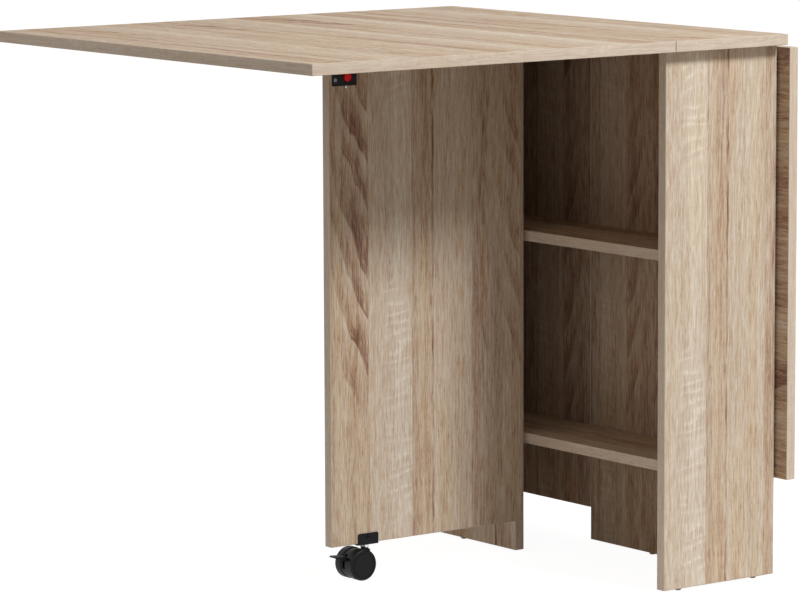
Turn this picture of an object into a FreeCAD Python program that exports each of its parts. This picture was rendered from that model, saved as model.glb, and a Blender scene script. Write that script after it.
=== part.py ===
import FreeCAD, Part
import math
import os

# A folding dining table: a narrow cabinet on glides with two drop leaves, each held up by a gate on a castor.
# X runs along the opened table, Y across it, Z up. The origin is on the floor under the cabinet's centre.
# The left leaf (towards -X) is up on its open gate, the right leaf hangs and its gate is closed.
# All sizes are millimetres. The right side is the left side turned half round the Z axis.

# Boards
board = 15.0
edge_round = 0.8
table_height = 755.0
centre_top_width = 200.0
top_depth = 750.0
leaf_span = 599.0
leaf_gap = 1.0
top_overhang = 22.0
end_panel_setback = 0.5
side_panel_inset = 22.5
upper_shelf_height = 448.0
lower_shelf_height = 157.0
shelf_clearance = 2.0
gate_end_gap = 1.5
gate_top_room = 1.0

# Hinges of the leaves and the gates
hinge_gap = 1.5
barrel_radius = 2.8
barrel_clearance = 0.3
hinge_pin_radius = 1.2
hinge_plate_thickness = 1.5
knuckle_gap = 0.3
leaf_hinge_length = 50.0
leaf_hinge_room = 4.5
leaf_hinge_margin = 145.0
gate_hinge_length = 60.0
gate_hinge_width = 24.0
gate_hinge_margin = 75.0

# Screws
screw_radius = 1.5
screw_length = 11.0
screw_head_radius = 3.0
screw_head_height = 1.4
screw_cross_length = 3.6
screw_cross_width = 0.9
screw_cross_depth = 0.7
catch_screw_grip = 10.0
catch_screw_recess = 1.6

# Dowels, cam fittings, shelf pins and glides of the cabinet
dowel_radius = 4.0
dowel_face_depth = 10.0
dowel_edge_depth = 20.0
dowel_step = 16.0
cam_radius = 7.5
cam_height = 12.0
cam_setback = 34.0
cam_bolt_radius = 3.2
cam_bolt_thread_radius = 2.5
cam_bolt_thread_length = 10.0
cam_margin = 110.0
top_fitting_inset = 12.0
side_fitting_pitch = 118.0
shelf_pin_radius = 2.5
shelf_pin_depth = 9.0
shelf_pin_reach = 9.0
shelf_pin_inset = 22.0
side_pin_place = 100.0
glide_height = 3.0
glide_radius = 4.5
glide_chamfer = 1.0
glide_nail_radius = 1.2
glide_nail_length = 14.0
glide_inset = 31.5
side_glide_place = 130.0

# Catch at the top of each gate: housing, bolt, spring and red release button
catch_width = 39.5
catch_height = 51.8
catch_proud = 3.0
catch_end_offset = 5.65
catch_wall = 2.0
catch_side_wall = 1.5
catch_cap = 6.0
catch_corner = 0.8
cavity_room = 1.0
pocket_gap = 0.2
catch_screw_inset = 4.2
catch_screw_rise = 8.4
leaf_rest_gap = 0.4
bolt_radius = 2.5
bolt_side = 0.8
bolt_drop = 0.4
bolt_lift = 11.0
bolt_nose = 1.2
bolt_tail_radius = 1.25
foot_width = 3.0
foot_height = 3.2
foot_thickness = 1.0
foot_gap = 0.2
foot_drop = 0.5
shank_height = 1.0
button_radius = 6.0
button_inset = 16.2
button_rise = 11.8
button_proud = 3.0
button_travel = 2.5
button_flange_rim = 1.1
button_flange = 1.5
button_gap = 0.25
wedge_width = 4.0
wedge_gap = 0.3
wedge_step = 2.0
spring_wire = 0.25
spring_turns = 5
strike_length = 40.0
strike_width = 14.0
strike_thickness = 2.5
strike_screw_pitch = 28.0
strike_hole_depth = 5.0

# Castor at the foot of each gate
castor_end_offset = 62.0
wheel_radius = 22.0
wheel_width = 14.0
wheel_round = 3.0
wheel_hub_radius = 6.0
wheel_rim = 5.0
wheel_pocket = 7.0
cap_rim = 1.5
cap_groove = 0.8
castor_trail = 15.5
castor_headroom = 6.0
hood_half = 5.5
hood_gap = 0.5
hood_recess = 1.0
boss_height = 5.0
collar_radius = 6.0
collar_height = 4.5
collar_round = 0.75
stem_radius = 3.5
stem_seat = 4.0
stem_head_radius = 5.0
stem_head_height = 2.0
swivel_gap = 0.3
axle_radius = 2.5
axle_end_gap = 2.0
bracket_width = 34.0
bracket_height = 14.0
bracket_thickness = 2.0
bracket_corner = 2.5
bracket_screw_drop = 5.0
bracket_screw_pitch = 24.0
lever_thickness = 5.0
lever_slot_gap = 0.3
lever_hub_radius = 5.5
lever_rise = 24.0
lever_arm_half = 3.0
lever_swing = 20.0
pedal_clearance = 2.0
pedal_length = 20.0
pedal_tilt = 13.0
pedal_width = 16.0
pedal_root_thickness = 6.4
pedal_tip_thickness = 1.6
pedal_corner = 5.3

# Clearances of the fits, all radial
fixed_fit = 0.02
running_fit = 0.05
bolt_fit = 0.08
strike_fit = 0.5
screw_fit = 0.05
hole_end = 0.5

# Places worked out from the sizes above
half_cabinet = top_depth / 2 - top_overhang
inner_end = half_cabinet - board
half_top = centre_top_width / 2
half_width = half_top - end_panel_setback
side_outer = half_width - side_panel_inset
side_inner = side_outer - board
side_middle = side_outer - board / 2
top_underside = table_height - board
hinge_offset = barrel_radius + barrel_clearance
leaf_axis_x = half_top + leaf_gap / 2
leaf_axis_z = top_underside - hinge_offset
leaf_inner = half_top + leaf_gap
leaf_hinge_width = leaf_axis_x - side_outer - leaf_hinge_room
leaf_hinge_reach = top_depth / 2 - leaf_hinge_margin
gate_axis_x = -(side_outer + hinge_offset)
gate_axis_y = -hinge_gap / 2
gate_root = gate_axis_x - hinge_gap / 2
gate_width = inner_end - hinge_gap - gate_end_gap
gate_end = gate_root - gate_width
gate_back = gate_axis_y - hinge_offset
gate_face = gate_back - board
gate_middle = gate_back - board / 2
gate_floor_gap = 2 * wheel_radius + castor_headroom
gate_top = leaf_axis_z - barrel_radius - gate_top_room
catch_top = top_underside - leaf_rest_gap
catch_bottom = catch_top - catch_height
catch_left = gate_end + catch_end_offset
catch_right = catch_left + catch_width
catch_front = gate_face - catch_proud
cavity_front = catch_front + catch_wall
cavity_floor = catch_bottom + catch_wall
cavity_roof = catch_top - catch_cap
button_x = catch_right - button_inset
button_z = catch_bottom + button_rise
flange_rear = cavity_front + button_gap + button_flange
chamber_half = button_radius + button_flange_rim + cavity_room
body_half = chamber_half + catch_side_wall
wedge_front = flange_rear + button_travel + wedge_gap
bolt_x = button_x - bolt_side
bolt_y = wedge_front + bolt_radius
bolt_top = catch_top - bolt_drop
bolt_bottom = catch_bottom + bolt_lift
wedge_low = bolt_bottom + wedge_step
wedge_back = bolt_y + bolt_radius
wedge_left = bolt_x + bolt_radius + wedge_gap
wedge_right = wedge_left + wedge_width
catch_back = wedge_back + wedge_gap
shank_top = catch_bottom - foot_drop
shank_low = shank_top - shank_height
castor_x = gate_end + castor_end_offset
axle_x = castor_x - castor_trail
hood_radius = wheel_radius - hood_recess
pedal_start = wheel_radius + pedal_clearance
collar_top = gate_floor_gap - bracket_thickness - swivel_gap
boss_top = collar_top - collar_height
wheel_inner = hood_half + hood_gap
wheel_outer = wheel_inner + wheel_width

X = FreeCAD.Vector(1, 0, 0)
Y = FreeCAD.Vector(0, 1, 0)
Z = FreeCAD.Vector(0, 0, 1)
ORIGIN = FreeCAD.Vector(0, 0, 0)


def point(x, y, z):
    return FreeCAD.Vector(x, y, z)


def block(low, high):
    size = high - low
    return Part.makeBox(size.x, size.y, size.z, low)


def rod(start, end, radius):
    along = end - start
    return Part.makeCylinder(radius, along.Length, start, along)


def end_edges(shape, end):
    """The round edges whose centre is at the given end of a rod."""
    rounds = [edge for edge in shape.Edges if isinstance(edge.Curve, Part.Circle)]
    return [edge for edge in rounds if edge.Curve.Center.isEqual(end, fixed_fit)]


def fused(shapes):
    return shapes[0].multiFuse(shapes[1:]).removeSplitter()


def panel(low, high):
    plain = block(low, high)
    return plain.makeFillet(edge_round, plain.Edges)


def prism(corners, along):
    return Part.Face(Part.makePolygon(corners + corners[:1])).extrude(along)


def half_turn(shape):
    return shape.rotated(ORIGIN, Z, 180)


def closed_gate(shape):
    return shape.rotated(point(gate_axis_x, gate_axis_y, 0), Z, 90)


def to_right_gate(shape):
    return half_turn(closed_gate(shape))


def to_right_leaf(shape):
    return half_turn(shape).rotated(point(leaf_axis_x, 0, leaf_axis_z), Y, 90)


def both_halves(shapes):
    return shapes + [half_turn(shape) for shape in shapes]


# Screws: a pan head with a cross recess, seated on a plate and driven along a direction


def screw(seat, into, length):
    face = seat - into * screw_head_height
    head = rod(seat, face, screw_head_radius)
    head = head.makeFillet(screw_head_height / 2, end_edges(head, face))
    side = Z if abs(into.z) < 0.5 else X
    other = into.cross(side)
    for arm, across in ((side, other), (other, side)):
        low = face - arm * (screw_cross_length / 2) - across * (screw_cross_width / 2)
        high = low + arm * screw_cross_length
        corners = [low, high, high + across * screw_cross_width, low + across * screw_cross_width]
        head = head.cut(prism(corners, into * screw_cross_depth))
    return head.fuse(rod(seat, seat + into * length, screw_radius))


def screw_hole(seat, into, length):
    return rod(seat, seat + into * (length + hole_end), screw_radius + screw_fit)


# Butt hinges: the pin lies along the local Z axis, the plate runs out along X, its board lies beyond it in Y


def hinge_knuckles(length):
    end = length / 2
    middle = length / 6
    outer = [(-end, -middle - knuckle_gap / 2), (middle + knuckle_gap / 2, end)]
    inner = [(-middle + knuckle_gap / 2, middle - knuckle_gap / 2)]
    return outer, inner


def hinge_plate(length, width, fixed):
    outer, inner = hinge_knuckles(length)
    front = hinge_offset - hinge_plate_thickness
    clear = barrel_radius + barrel_clearance
    pieces = [block(point(clear, front, -length / 2), point(width, hinge_offset, length / 2))]
    for low, high in outer if fixed else inner:
        pieces.append(block(point(0, front, low), point(clear + hinge_plate_thickness, hinge_offset, high)))
        pieces.append(rod(point(0, 0, low), point(0, 0, high), barrel_radius))
    fit = fixed_fit if fixed else running_fit
    bore = rod(point(0, 0, -length), point(0, 0, length), hinge_pin_radius + fit)
    holes = [screw_hole(seat, into, hinge_plate_thickness) for seat, into in hinge_screws(length, width)]
    return fused(pieces).cut(Part.makeCompound([bore] + holes))


def hinge_screws(length, width):
    front = hinge_offset - hinge_plate_thickness
    across = (width + barrel_radius + barrel_clearance) / 2
    return [(point(across, front, side * length / 3), Y) for side in (-1, 1)]


def hinge_pin(length):
    return rod(point(0, 0, -length / 2), point(0, 0, length / 2), hinge_pin_radius)


def turned(origin, along, towards):
    third = along.cross(towards)
    matrix = FreeCAD.Matrix(
        along.x, towards.x, third.x, origin.x,
        along.y, towards.y, third.y, origin.y,
        along.z, towards.z, third.z, origin.z,
        0, 0, 0, 1,
    )
    return FreeCAD.Placement(matrix)


def placed(shape, place):
    return shape.transformed(place.toMatrix())


class Hinges:
    """One row of equal hinges: the plates of both sides, their pins, screws and the holes for the screws."""

    def __init__(self, length, width, fixed_places, moving_places):
        self.fixed = [placed(hinge_plate(length, width, True), place) for place in fixed_places]
        self.moving = [placed(hinge_plate(length, width, False), place) for place in moving_places]
        self.pins = [placed(hinge_pin(length), place) for place in fixed_places]
        self.fixed_screws, self.fixed_holes = self.fasteners(length, width, fixed_places)
        self.moving_screws, self.moving_holes = self.fasteners(length, width, moving_places)

    def fasteners(self, length, width, places):
        screws = []
        holes = []
        for place in places:
            for seat, into in hinge_screws(length, width):
                start = place.multVec(seat)
                along = place.Rotation.multVec(into)
                screws.append(screw(start, along, screw_length))
                holes.append(screw_hole(start, along, screw_length))
        return screws, holes


leaf_axes = [point(-leaf_axis_x, step * leaf_hinge_reach, leaf_axis_z) for step in (-1, 0, 1)]
leaf_hinges = Hinges(
    leaf_hinge_length,
    leaf_hinge_width,
    [turned(axis, X, Z) for axis in leaf_axes],
    [turned(axis, -X, Z) for axis in leaf_axes],
)
gate_hinge_low = gate_floor_gap + gate_hinge_margin
gate_hinge_high = gate_top - gate_hinge_margin
gate_hinge_heights = (gate_hinge_low, (gate_hinge_low + gate_hinge_high) / 2, gate_hinge_high)
gate_axes = [point(gate_axis_x, gate_axis_y, height) for height in gate_hinge_heights]
gate_hinges = Hinges(
    gate_hinge_length,
    gate_hinge_width,
    [turned(axis, Y, X) for axis in gate_axes],
    [turned(axis, -X, -Y) for axis in gate_axes],
)


# Cam fittings and dowels: a joint point lies on the joint plane, in the middle of the edge that meets it


def cam_fitting(joint, along, face):
    centre = joint + along * cam_setback
    surface = centre + face * (board / 2)
    bolt_end = joint + along * (cam_setback - cam_bolt_radius)
    disc = rod(surface, surface - face * cam_height, cam_radius - running_fit)
    slot = rod(joint, centre, cam_bolt_radius + screw_fit)
    bolt = fused([
        rod(joint - along * cam_bolt_thread_length, joint, cam_bolt_thread_radius),
        rod(joint, bolt_end, cam_bolt_radius),
    ])
    pocket = rod(surface, surface - face * (cam_height + hole_end), cam_radius)
    thread_end = joint - along * (cam_bolt_thread_length + hole_end)
    thread = rod(joint, thread_end, cam_bolt_thread_radius + fixed_fit)
    return disc.cut(slot), bolt, [pocket, slot], thread


def dowel_joint(joint, along):
    start = joint - along * dowel_face_depth
    end = joint + along * dowel_edge_depth
    wide = dowel_radius + fixed_fit
    face_hole = rod(joint, start - along * hole_end, wide)
    edge_hole = rod(joint, end + along * hole_end, wide)
    return rod(start, end, dowel_radius), face_hole, edge_hole


cams = []
cam_bolts = []
dowels = []
side_cuts = list(gate_hinges.fixed_holes)
end_cuts = []
top_cuts = list(leaf_hinges.fixed_holes)
side_to_end = [glide_height + cam_margin, top_underside - cam_margin]
side_to_top = [inner_end - cam_setback - side_fitting_pitch, inner_end - cam_setback]
end_to_top = [top_fitting_inset - side_inner, side_inner - top_fitting_inset]
cam_places = [(point(-side_middle, inner_end, z), -Y, X, side_cuts, end_cuts) for z in side_to_end]
cam_places += [(point(-side_middle, y, top_underside), -Z, X, side_cuts, top_cuts) for y in side_to_top]
end_middle = half_cabinet - board / 2
cam_places += [(point(x, end_middle, top_underside), -Z, -Y, end_cuts, top_cuts) for x in end_to_top]
for joint, along, face, edge_cuts, face_cuts in cam_places:
    disc, bolt, pockets, thread = cam_fitting(joint, along, face)
    cams.append(disc)
    cam_bolts.append(bolt)
    edge_cuts += pockets
    face_cuts.append(thread)

dowel_heights = [side_to_end[0] + 2 * dowel_step, side_to_end[1] - 2 * dowel_step]
dowel_across = [end_to_top[0] + dowel_step, end_to_top[1] - dowel_step]
dowel_places = [(point(-side_middle, inner_end, z), -Y, side_cuts, end_cuts) for z in dowel_heights]
side_dowel = point(-side_middle, side_to_top[0] + 2 * dowel_step, top_underside)
dowel_places.append((side_dowel, -Z, side_cuts, top_cuts))
dowel_places += [(point(x, end_middle, top_underside), -Z, end_cuts, top_cuts) for x in dowel_across]
for joint, along, edge_cuts, face_cuts in dowel_places:
    peg, face_hole, edge_hole = dowel_joint(joint, along)
    dowels.append(peg)
    face_cuts.append(face_hole)
    edge_cuts.append(edge_hole)

# Shelf pins under both shelves, and glides under the uprights

shelf_pins = []
for shelf_height in (upper_shelf_height, lower_shelf_height):
    pin_height = shelf_height - shelf_pin_radius
    pin_places = [(point(-side_inner, side_pin_place, pin_height), X, side_cuts)]
    for across in (shelf_pin_inset - side_inner, side_inner - shelf_pin_inset):
        pin_places.append((point(across, inner_end, pin_height), -Y, end_cuts))
    for seat, out, cuts in pin_places:
        shelf_pins.append(rod(seat - out * shelf_pin_depth, seat + out * shelf_pin_reach, shelf_pin_radius))
        cuts.append(rod(seat, seat - out * (shelf_pin_depth + hole_end), shelf_pin_radius + fixed_fit))

glides = []
glide_reach = half_width - glide_inset
glide_places = [(point(x, end_middle, glide_height), end_cuts) for x in (-glide_reach, glide_reach)]
glide_places.append((point(-side_middle, side_glide_place, glide_height), side_cuts))
for seat, cuts in glide_places:
    sole = seat - Z * glide_height
    foot = rod(seat, sole, glide_radius)
    foot = foot.makeChamfer(glide_chamfer, end_edges(foot, sole))
    glides.append(foot.fuse(rod(seat, seat + Z * glide_nail_length, glide_nail_radius)))
    cuts.append(rod(seat, seat + Z * (glide_nail_length + hole_end), glide_nail_radius + fixed_fit))

# Boards of the cabinet

centre_top = panel(
    point(-half_top, -top_depth / 2, top_underside),
    point(half_top, top_depth / 2, table_height),
)
centre_top = centre_top.cut(Part.makeCompound(both_halves(top_cuts)))
end_panel_rear = panel(
    point(-half_width, inner_end, glide_height),
    point(half_width, half_cabinet, top_underside),
)
end_panel_rear = end_panel_rear.cut(Part.makeCompound(end_cuts))
side_panel_left = panel(
    point(-side_outer, 0, glide_height),
    point(-side_inner, inner_end, top_underside),
)
side_panel_left = side_panel_left.cut(Part.makeCompound(side_cuts))


def shelf(height):
    half = side_inner - shelf_clearance
    return panel(point(-half, -inner_end, height), point(half, inner_end, height + board))


# Leaf with the strike plate that takes the bolt of the catch

strike_middle = point(bolt_x, bolt_y, top_underside)
strike_seats = [
    strike_middle + X * (side * strike_screw_pitch / 2) + Z * catch_screw_recess for side in (-1, 1)
]
strike_half = point(strike_length / 2, strike_width / 2, 0)
strike_plate = block(strike_middle - strike_half, strike_middle + strike_half + Z * strike_thickness)
strike_cuts = [rod(strike_middle, strike_middle + Z * strike_thickness, bolt_radius + strike_fit)]
for seat in strike_seats:
    strike_cuts.append(rod(seat, seat - Z * catch_screw_recess, screw_head_radius + screw_fit))
    strike_cuts.append(screw_hole(seat, Z, strike_thickness))
strike_pocket = strike_plate.copy()
strike_plate = strike_plate.cut(Part.makeCompound(strike_cuts))
strike_screws = [screw(seat, Z, screw_length - catch_screw_recess) for seat in strike_seats]
strike_holes = [screw_hole(seat, Z, screw_length - catch_screw_recess) for seat in strike_seats]
bolt_hole_end = strike_middle + Z * (strike_thickness + strike_hole_depth)
bolt_hole = rod(strike_middle, bolt_hole_end, bolt_radius + strike_fit)

leaf_left = panel(
    point(-leaf_inner - leaf_span, -top_depth / 2, top_underside),
    point(-leaf_inner, top_depth / 2, table_height),
)
leaf_cuts = leaf_hinges.moving_holes + strike_holes + [strike_pocket, bolt_hole]
leaf_left = leaf_left.cut(Part.makeCompound(leaf_cuts))

# Gate with a pocket for the catch, a recess over the castor's stem and the holes for its fittings

castor_foot = point(castor_x, gate_middle, gate_floor_gap)
bracket_low = gate_floor_gap - bracket_thickness
bracket_seats = [
    (point(castor_x, gate_face - bracket_thickness, gate_floor_gap + bracket_height - bracket_screw_drop), Y),
    (point(castor_x - bracket_screw_pitch / 2, gate_middle, bracket_low), Z),
    (point(castor_x + bracket_screw_pitch / 2, gate_middle, bracket_low), Z),
]
catch_seats = [
    point(catch_left + catch_screw_inset, catch_front + catch_screw_recess, catch_bottom + catch_screw_rise),
    point(catch_right - catch_screw_inset, catch_front + catch_screw_recess, catch_top - catch_screw_rise),
]
catch_screw_length = catch_proud - catch_screw_recess + catch_screw_grip
castor_screws = [screw(seat, into, screw_length) for seat, into in bracket_seats]
catch_screws = [screw(seat, Y, catch_screw_length) for seat in catch_seats]
catch_pocket = block(
    point(button_x - body_half - pocket_gap, gate_face, catch_bottom - pocket_gap),
    point(button_x + body_half + pocket_gap, catch_back + pocket_gap, catch_top),
)
foot_notch = block(
    point(bolt_x - bolt_tail_radius - hole_end, gate_face, shank_low - button_travel - hole_end),
    point(bolt_x + bolt_tail_radius + hole_end, bolt_y + bolt_tail_radius + hole_end, catch_bottom),
)
gate_cuts = gate_hinges.moving_holes + [catch_pocket, foot_notch]
gate_cuts += [screw_hole(seat, into, screw_length) for seat, into in bracket_seats]
gate_cuts += [screw_hole(seat, Y, catch_screw_length) for seat in catch_seats]
recess_end = castor_foot + Z * (swivel_gap + stem_head_height + hole_end)
stem_recess = rod(castor_foot, recess_end, stem_head_radius + hole_end)
gate_left = panel(point(gate_end, gate_face, gate_floor_gap), point(gate_root, gate_back, gate_top))
gate_left = gate_left.cut(Part.makeCompound(gate_cuts + [stem_recess]))

# Catch: a face plate with a body let into the gate. The button's wedge pushes the bolt down as the button
# goes in, and the spring lifts it again. The bolt's foot shows below the plate.


def catch_housing():
    plate = block(point(catch_left, catch_front, catch_bottom), point(catch_right, gate_face, catch_top))
    outer = [edge for edge in plate.Edges if edge.CenterOfMass.y < catch_front + catch_corner]
    plate = plate.makeFillet(catch_corner, outer)
    body = block(
        point(button_x - body_half, gate_face, catch_bottom),
        point(button_x + body_half, catch_back, catch_top),
    )
    cavity = block(
        point(button_x - chamber_half, cavity_front, cavity_floor),
        point(button_x + chamber_half, catch_back, cavity_roof),
    )
    bolt_axis = point(bolt_x, bolt_y, 0)
    button_axis = point(button_x, 0, button_z)
    cuts = [
        cavity,
        rod(bolt_axis + Z * cavity_roof, bolt_axis + Z * catch_top, bolt_radius + bolt_fit),
        rod(bolt_axis + Z * catch_bottom, bolt_axis + Z * cavity_floor, bolt_tail_radius + bolt_fit),
        rod(button_axis + Y * catch_front, button_axis + Y * cavity_front, button_radius + bolt_fit),
    ]
    for seat in catch_seats:
        cuts.append(rod(seat, seat - Y * catch_screw_recess, screw_head_radius + screw_fit))
        cuts.append(screw_hole(seat, Y, catch_proud))
    return fused([plate, body]).cut(Part.makeCompound(cuts))


def catch_bolt():
    axis = point(bolt_x, bolt_y, 0)
    stem = rod(axis + Z * bolt_bottom, axis + Z * bolt_top, bolt_radius)
    stem = stem.makeChamfer(bolt_nose, end_edges(stem, axis + Z * bolt_top))
    tail = rod(axis + Z * shank_low, axis + Z * bolt_bottom, bolt_tail_radius)
    foot_back = gate_face - foot_gap
    foot_front = foot_back - foot_thickness
    shank = block(
        point(bolt_x - bolt_tail_radius, foot_front, shank_low),
        point(bolt_x + bolt_tail_radius, bolt_y, shank_top),
    )
    foot = block(
        point(bolt_x - foot_width / 2, foot_front, shank_top - foot_height),
        point(bolt_x + foot_width / 2, foot_back, shank_top),
    )
    rise = wedge_back - wedge_front
    ramp = prism(
        [
            point(bolt_x, wedge_front, bolt_bottom),
            point(bolt_x, wedge_back, bolt_bottom),
            point(bolt_x, wedge_back, wedge_low + rise),
            point(bolt_x, wedge_front, wedge_low),
        ],
        X * (wedge_right - bolt_x),
    )
    return fused([stem, tail, shank, foot, ramp])


def release_button():
    axis = point(button_x, 0, button_z)
    face = axis + Y * (catch_front - button_proud)
    head = rod(face, axis + Y * flange_rear, button_radius)
    head = head.makeFillet(button_proud / 2, end_edges(head, face))
    collar_start = axis + Y * (flange_rear - button_flange)
    collar = rod(collar_start, axis + Y * flange_rear, button_radius + button_flange_rim)
    root = flange_rear - button_flange / 2
    tip = wedge_back - button_travel
    floor = wedge_low + wedge_gap * math.sqrt(2) - wedge_front
    wedge = prism(
        [
            point(wedge_left, root, floor + root),
            point(wedge_left, tip, floor + tip),
            point(wedge_left, tip, floor + tip + wedge_step),
            point(wedge_left, root, floor + tip + wedge_step),
        ],
        X * (wedge_right - wedge_left),
    )
    return fused([head, collar, wedge])


def catch_spring():
    seat = cavity_floor + spring_wire
    height = bolt_bottom - cavity_floor - 2 * spring_wire
    radius = bolt_tail_radius + bolt_fit + 2 * spring_wire
    helix = Part.makeHelix(height / spring_turns, height, radius)
    ring = Part.Wire(Part.makeCircle(spring_wire, point(radius, 0, 0), Y))
    coil = Part.Wire(helix.Edges).makePipeShell([ring], True, True)
    coil.translate(point(bolt_x, bolt_y, seat))
    return coil


# Castor: an angle bracket on the gate, a hood that swivels on a riveted stem, two wheels and a brake lever


def castor_bracket():
    front = gate_face - bracket_thickness
    left = castor_x - bracket_width / 2
    right = castor_x + bracket_width / 2
    top = gate_floor_gap + bracket_height
    upright = block(point(left, front, bracket_low), point(right, gate_face, top))
    through = [edge for edge in upright.Edges if edge.tangentAt(edge.FirstParameter).isParallel(Y, fixed_fit)]
    upper = [edge for edge in through if edge.CenterOfMass.z > gate_floor_gap]
    upright = upright.makeFillet(bracket_corner, upper)
    foot = block(point(left, front, bracket_low), point(right, gate_back, gate_floor_gap))
    eye = rod(castor_foot - Z * bracket_thickness, castor_foot, stem_radius + running_fit)
    holes = [screw_hole(seat, into, bracket_thickness) for seat, into in bracket_seats]
    return fused([upright, foot]).cut(Part.makeCompound([eye] + holes))


def castor_stem():
    foot = point(castor_x, gate_middle, boss_top)
    top = foot + Z * collar_height
    collar = rod(foot, top, collar_radius)
    collar = collar.makeFillet(collar_round, end_edges(collar, foot) + end_edges(collar, top))
    head_foot = castor_foot + Z * swivel_gap
    head = rod(head_foot, head_foot + Z * stem_head_height, stem_head_radius)
    return fused([collar, rod(foot - Z * stem_seat, head_foot, stem_radius), head])


def axle_rod(reach, radius):
    centre = point(axle_x, gate_middle, wheel_radius)
    return rod(centre - Y * reach, centre + Y * reach, radius)


def castor_hood():
    disc = axle_rod(hood_half, hood_radius)
    neck_low = point(axle_x, gate_middle - hood_half, wheel_radius)
    neck = block(neck_low, point(castor_x + hood_half, gate_middle + hood_half, boss_top - boss_height / 2))
    neck = neck.common(axle_rod(hood_half, math.hypot(castor_trail + hood_half, boss_top - wheel_radius)))
    boss_foot = point(castor_x, gate_middle, boss_top - boss_height)
    boss = rod(boss_foot, boss_foot + Z * boss_height, hood_half)
    stem_hole = rod(
        point(castor_x, gate_middle, boss_top - stem_seat),
        point(castor_x, gate_middle, boss_top),
        stem_radius + fixed_fit,
    )
    half_slot = lever_thickness / 2 + lever_slot_gap
    arm_high = math.radians(lever_rise)
    arm_low = math.radians(lever_rise - lever_swing)
    slot_high = wheel_radius + hood_radius * math.sin(arm_high) + 2 * lever_arm_half
    slot_low = wheel_radius + min(0, hood_radius * math.sin(arm_low)) - 2 * lever_arm_half
    slot = block(
        point(axle_x - 2 * hood_radius, gate_middle - half_slot, slot_low),
        point(axle_x, gate_middle + half_slot, slot_high),
    )
    hub_room = axle_rod(half_slot, lever_hub_radius + lever_slot_gap)
    cuts = [slot, hub_room, stem_hole, axle_rod(wheel_outer, axle_radius + fixed_fit)]
    return fused([disc, neck, boss]).cut(Part.makeCompound(cuts))


def castor_wheel(side):
    """A wheel turned from its outline: the tread, an inset cap outside and a pocket round the hub inside."""
    rim_inner = wheel_radius - wheel_rim
    shoulder = wheel_radius - wheel_round
    cap_radius = shoulder - cap_rim
    slant = wheel_round * (1 - math.sqrt(0.5))
    bore = axle_radius + running_fit
    bore_end = wheel_width - axle_end_gap + hole_end
    corner = [
        point(shoulder, wheel_width, 0),
        point(wheel_radius - slant, wheel_width - slant, 0),
        point(wheel_radius, wheel_width - wheel_round, 0),
    ]
    inside = [
        (wheel_radius, slant),
        (wheel_radius - slant, 0),
        (rim_inner, 0),
        (rim_inner, wheel_pocket),
        (wheel_hub_radius, wheel_pocket),
        (wheel_hub_radius, 0),
        (bore, 0),
        (bore, bore_end),
        (0, bore_end),
        (0, wheel_width),
        (cap_radius - cap_groove, wheel_width),
        (cap_radius - cap_groove, wheel_width - cap_groove),
        (cap_radius, wheel_width - cap_groove),
        (cap_radius, wheel_width),
    ]
    path = [corner[2]] + [point(radius, width, 0) for radius, width in inside] + [corner[0]]
    edges = [Part.Arc(*corner).toShape()]
    edges += [Part.makeLine(start, end) for start, end in zip(path, path[1:])]
    wheel = Part.Face(Part.Wire(edges)).revolve(ORIGIN, Y, 360)
    if side < 0:
        wheel = wheel.rotated(ORIGIN, Z, 180)
    return wheel.translated(point(axle_x, gate_middle + side * wheel_inner, wheel_radius))


def brake_lever():
    """Built level along -X from the axle, the pedal tipped a little, then all turned up about the axle."""
    half = lever_thickness / 2
    centre = point(axle_x, gate_middle, wheel_radius)
    arm_low = centre + point(-pedal_start - pedal_clearance, -half, -lever_arm_half)
    arm = block(arm_low, centre + point(0, half, lever_arm_half))
    root = centre + point(-pedal_start, -pedal_width / 2, 0)
    tip = root - X * pedal_length
    pedal = prism(
        [
            root - Z * (pedal_root_thickness / 2),
            root + Z * (pedal_root_thickness / 2),
            tip + Z * (pedal_tip_thickness / 2),
            tip - Z * (pedal_tip_thickness / 2),
        ],
        Y * pedal_width,
    )
    upright = [edge for edge in pedal.Edges if edge.tangentAt(edge.FirstParameter).isParallel(Z, fixed_fit)]
    tips = [edge for edge in upright if edge.CenterOfMass.x < tip.x + pedal_length / 2]
    pedal = pedal.makeFillet(pedal_corner, tips).rotated(root, Y, -pedal_tilt)
    hub = axle_rod(half, lever_hub_radius)
    bore = axle_rod(pedal_width, axle_radius + running_fit)
    lever = fused([hub, arm, pedal]).cut(bore)
    return lever.rotated(centre, Y, lever_rise)


# Nodes: every piece of the left side once, then the same piece turned round for the right side

nodes = {
    "centre_top": [centre_top],
    "end_panel_rear": [end_panel_rear],
    "end_panel_front": [half_turn(end_panel_rear)],
    "side_panel_left": [side_panel_left],
    "side_panel_right": [half_turn(side_panel_left)],
    "shelf_upper": [shelf(upper_shelf_height)],
    "shelf_lower": [shelf(lower_shelf_height)],
    "shelf_pins": both_halves(shelf_pins),
    "dowels": both_halves(dowels),
    "cam_locks": both_halves(cams),
    "cam_bolts": both_halves(cam_bolts),
    "glides": both_halves(glides),
    "leaf_hinge_fixed_plates": both_halves(leaf_hinges.fixed),
    "leaf_hinge_pins": both_halves(leaf_hinges.pins),
    "gate_hinge_fixed_plates": both_halves(gate_hinges.fixed),
    "gate_hinge_pins": both_halves(gate_hinges.pins),
    "cabinet_hinge_screws": both_halves(leaf_hinges.fixed_screws + gate_hinges.fixed_screws),
}
leaf_nodes = {
    "leaf": [leaf_left],
    "leaf_hinge_plates": leaf_hinges.moving,
    "leaf_screws": leaf_hinges.moving_screws + strike_screws,
    "strike_plate": [strike_plate],
}
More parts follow.
